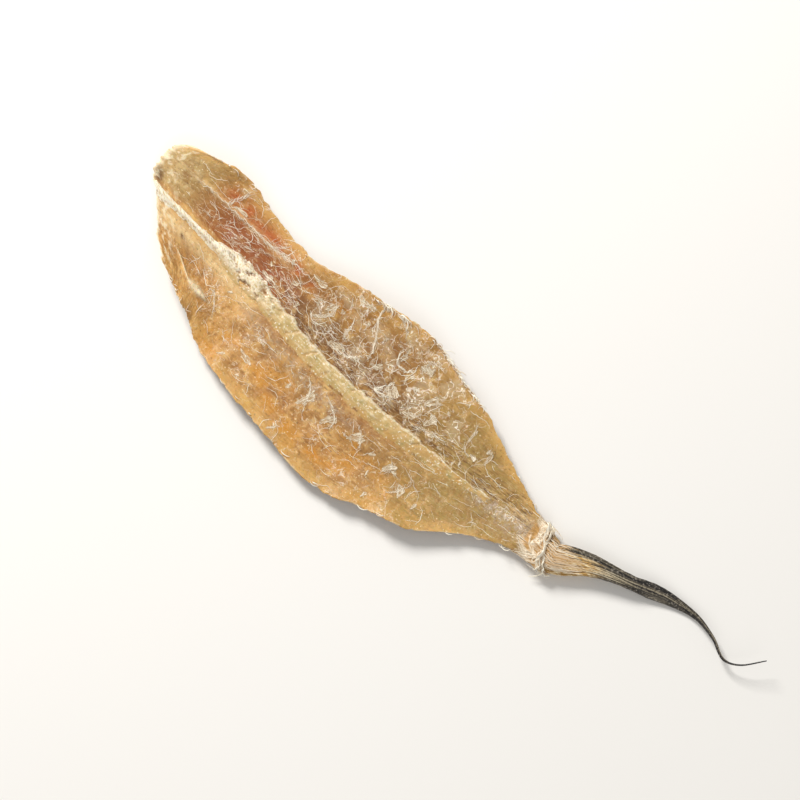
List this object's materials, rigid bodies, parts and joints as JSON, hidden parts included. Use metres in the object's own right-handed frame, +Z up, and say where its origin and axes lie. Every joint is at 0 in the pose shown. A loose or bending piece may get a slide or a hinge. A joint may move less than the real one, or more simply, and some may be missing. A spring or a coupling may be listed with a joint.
{
  "type": "dried fish",
  "caption": "Headless fish split along its belly, opened flat and dried hard, with two thin amber flaps of flesh, a raised backbone and a long dark tail fin.",
  "frame": {"origin": "under the middle of the fish's box, on the surface it rests on", "axes": "+X along the fish from the head cut to the fin's tip, +Z up from the resting surface, flesh and backbone facing up"},
  "size_m": [0.261, 0.0632, 0.0092],
  "materials": {
    "flesh": "hard dried amber fish flesh, slightly translucent, half glossy, under torn white membrane",
    "membrane": "thin dry whitish membrane and bone, matt to silky",
    "fin": "dry fin rays, dark grey with cream streaks, half glossy"
  },
  "bodies": {
    "root": {"dried_fish": "flesh"}
  },
  "joints": []
}
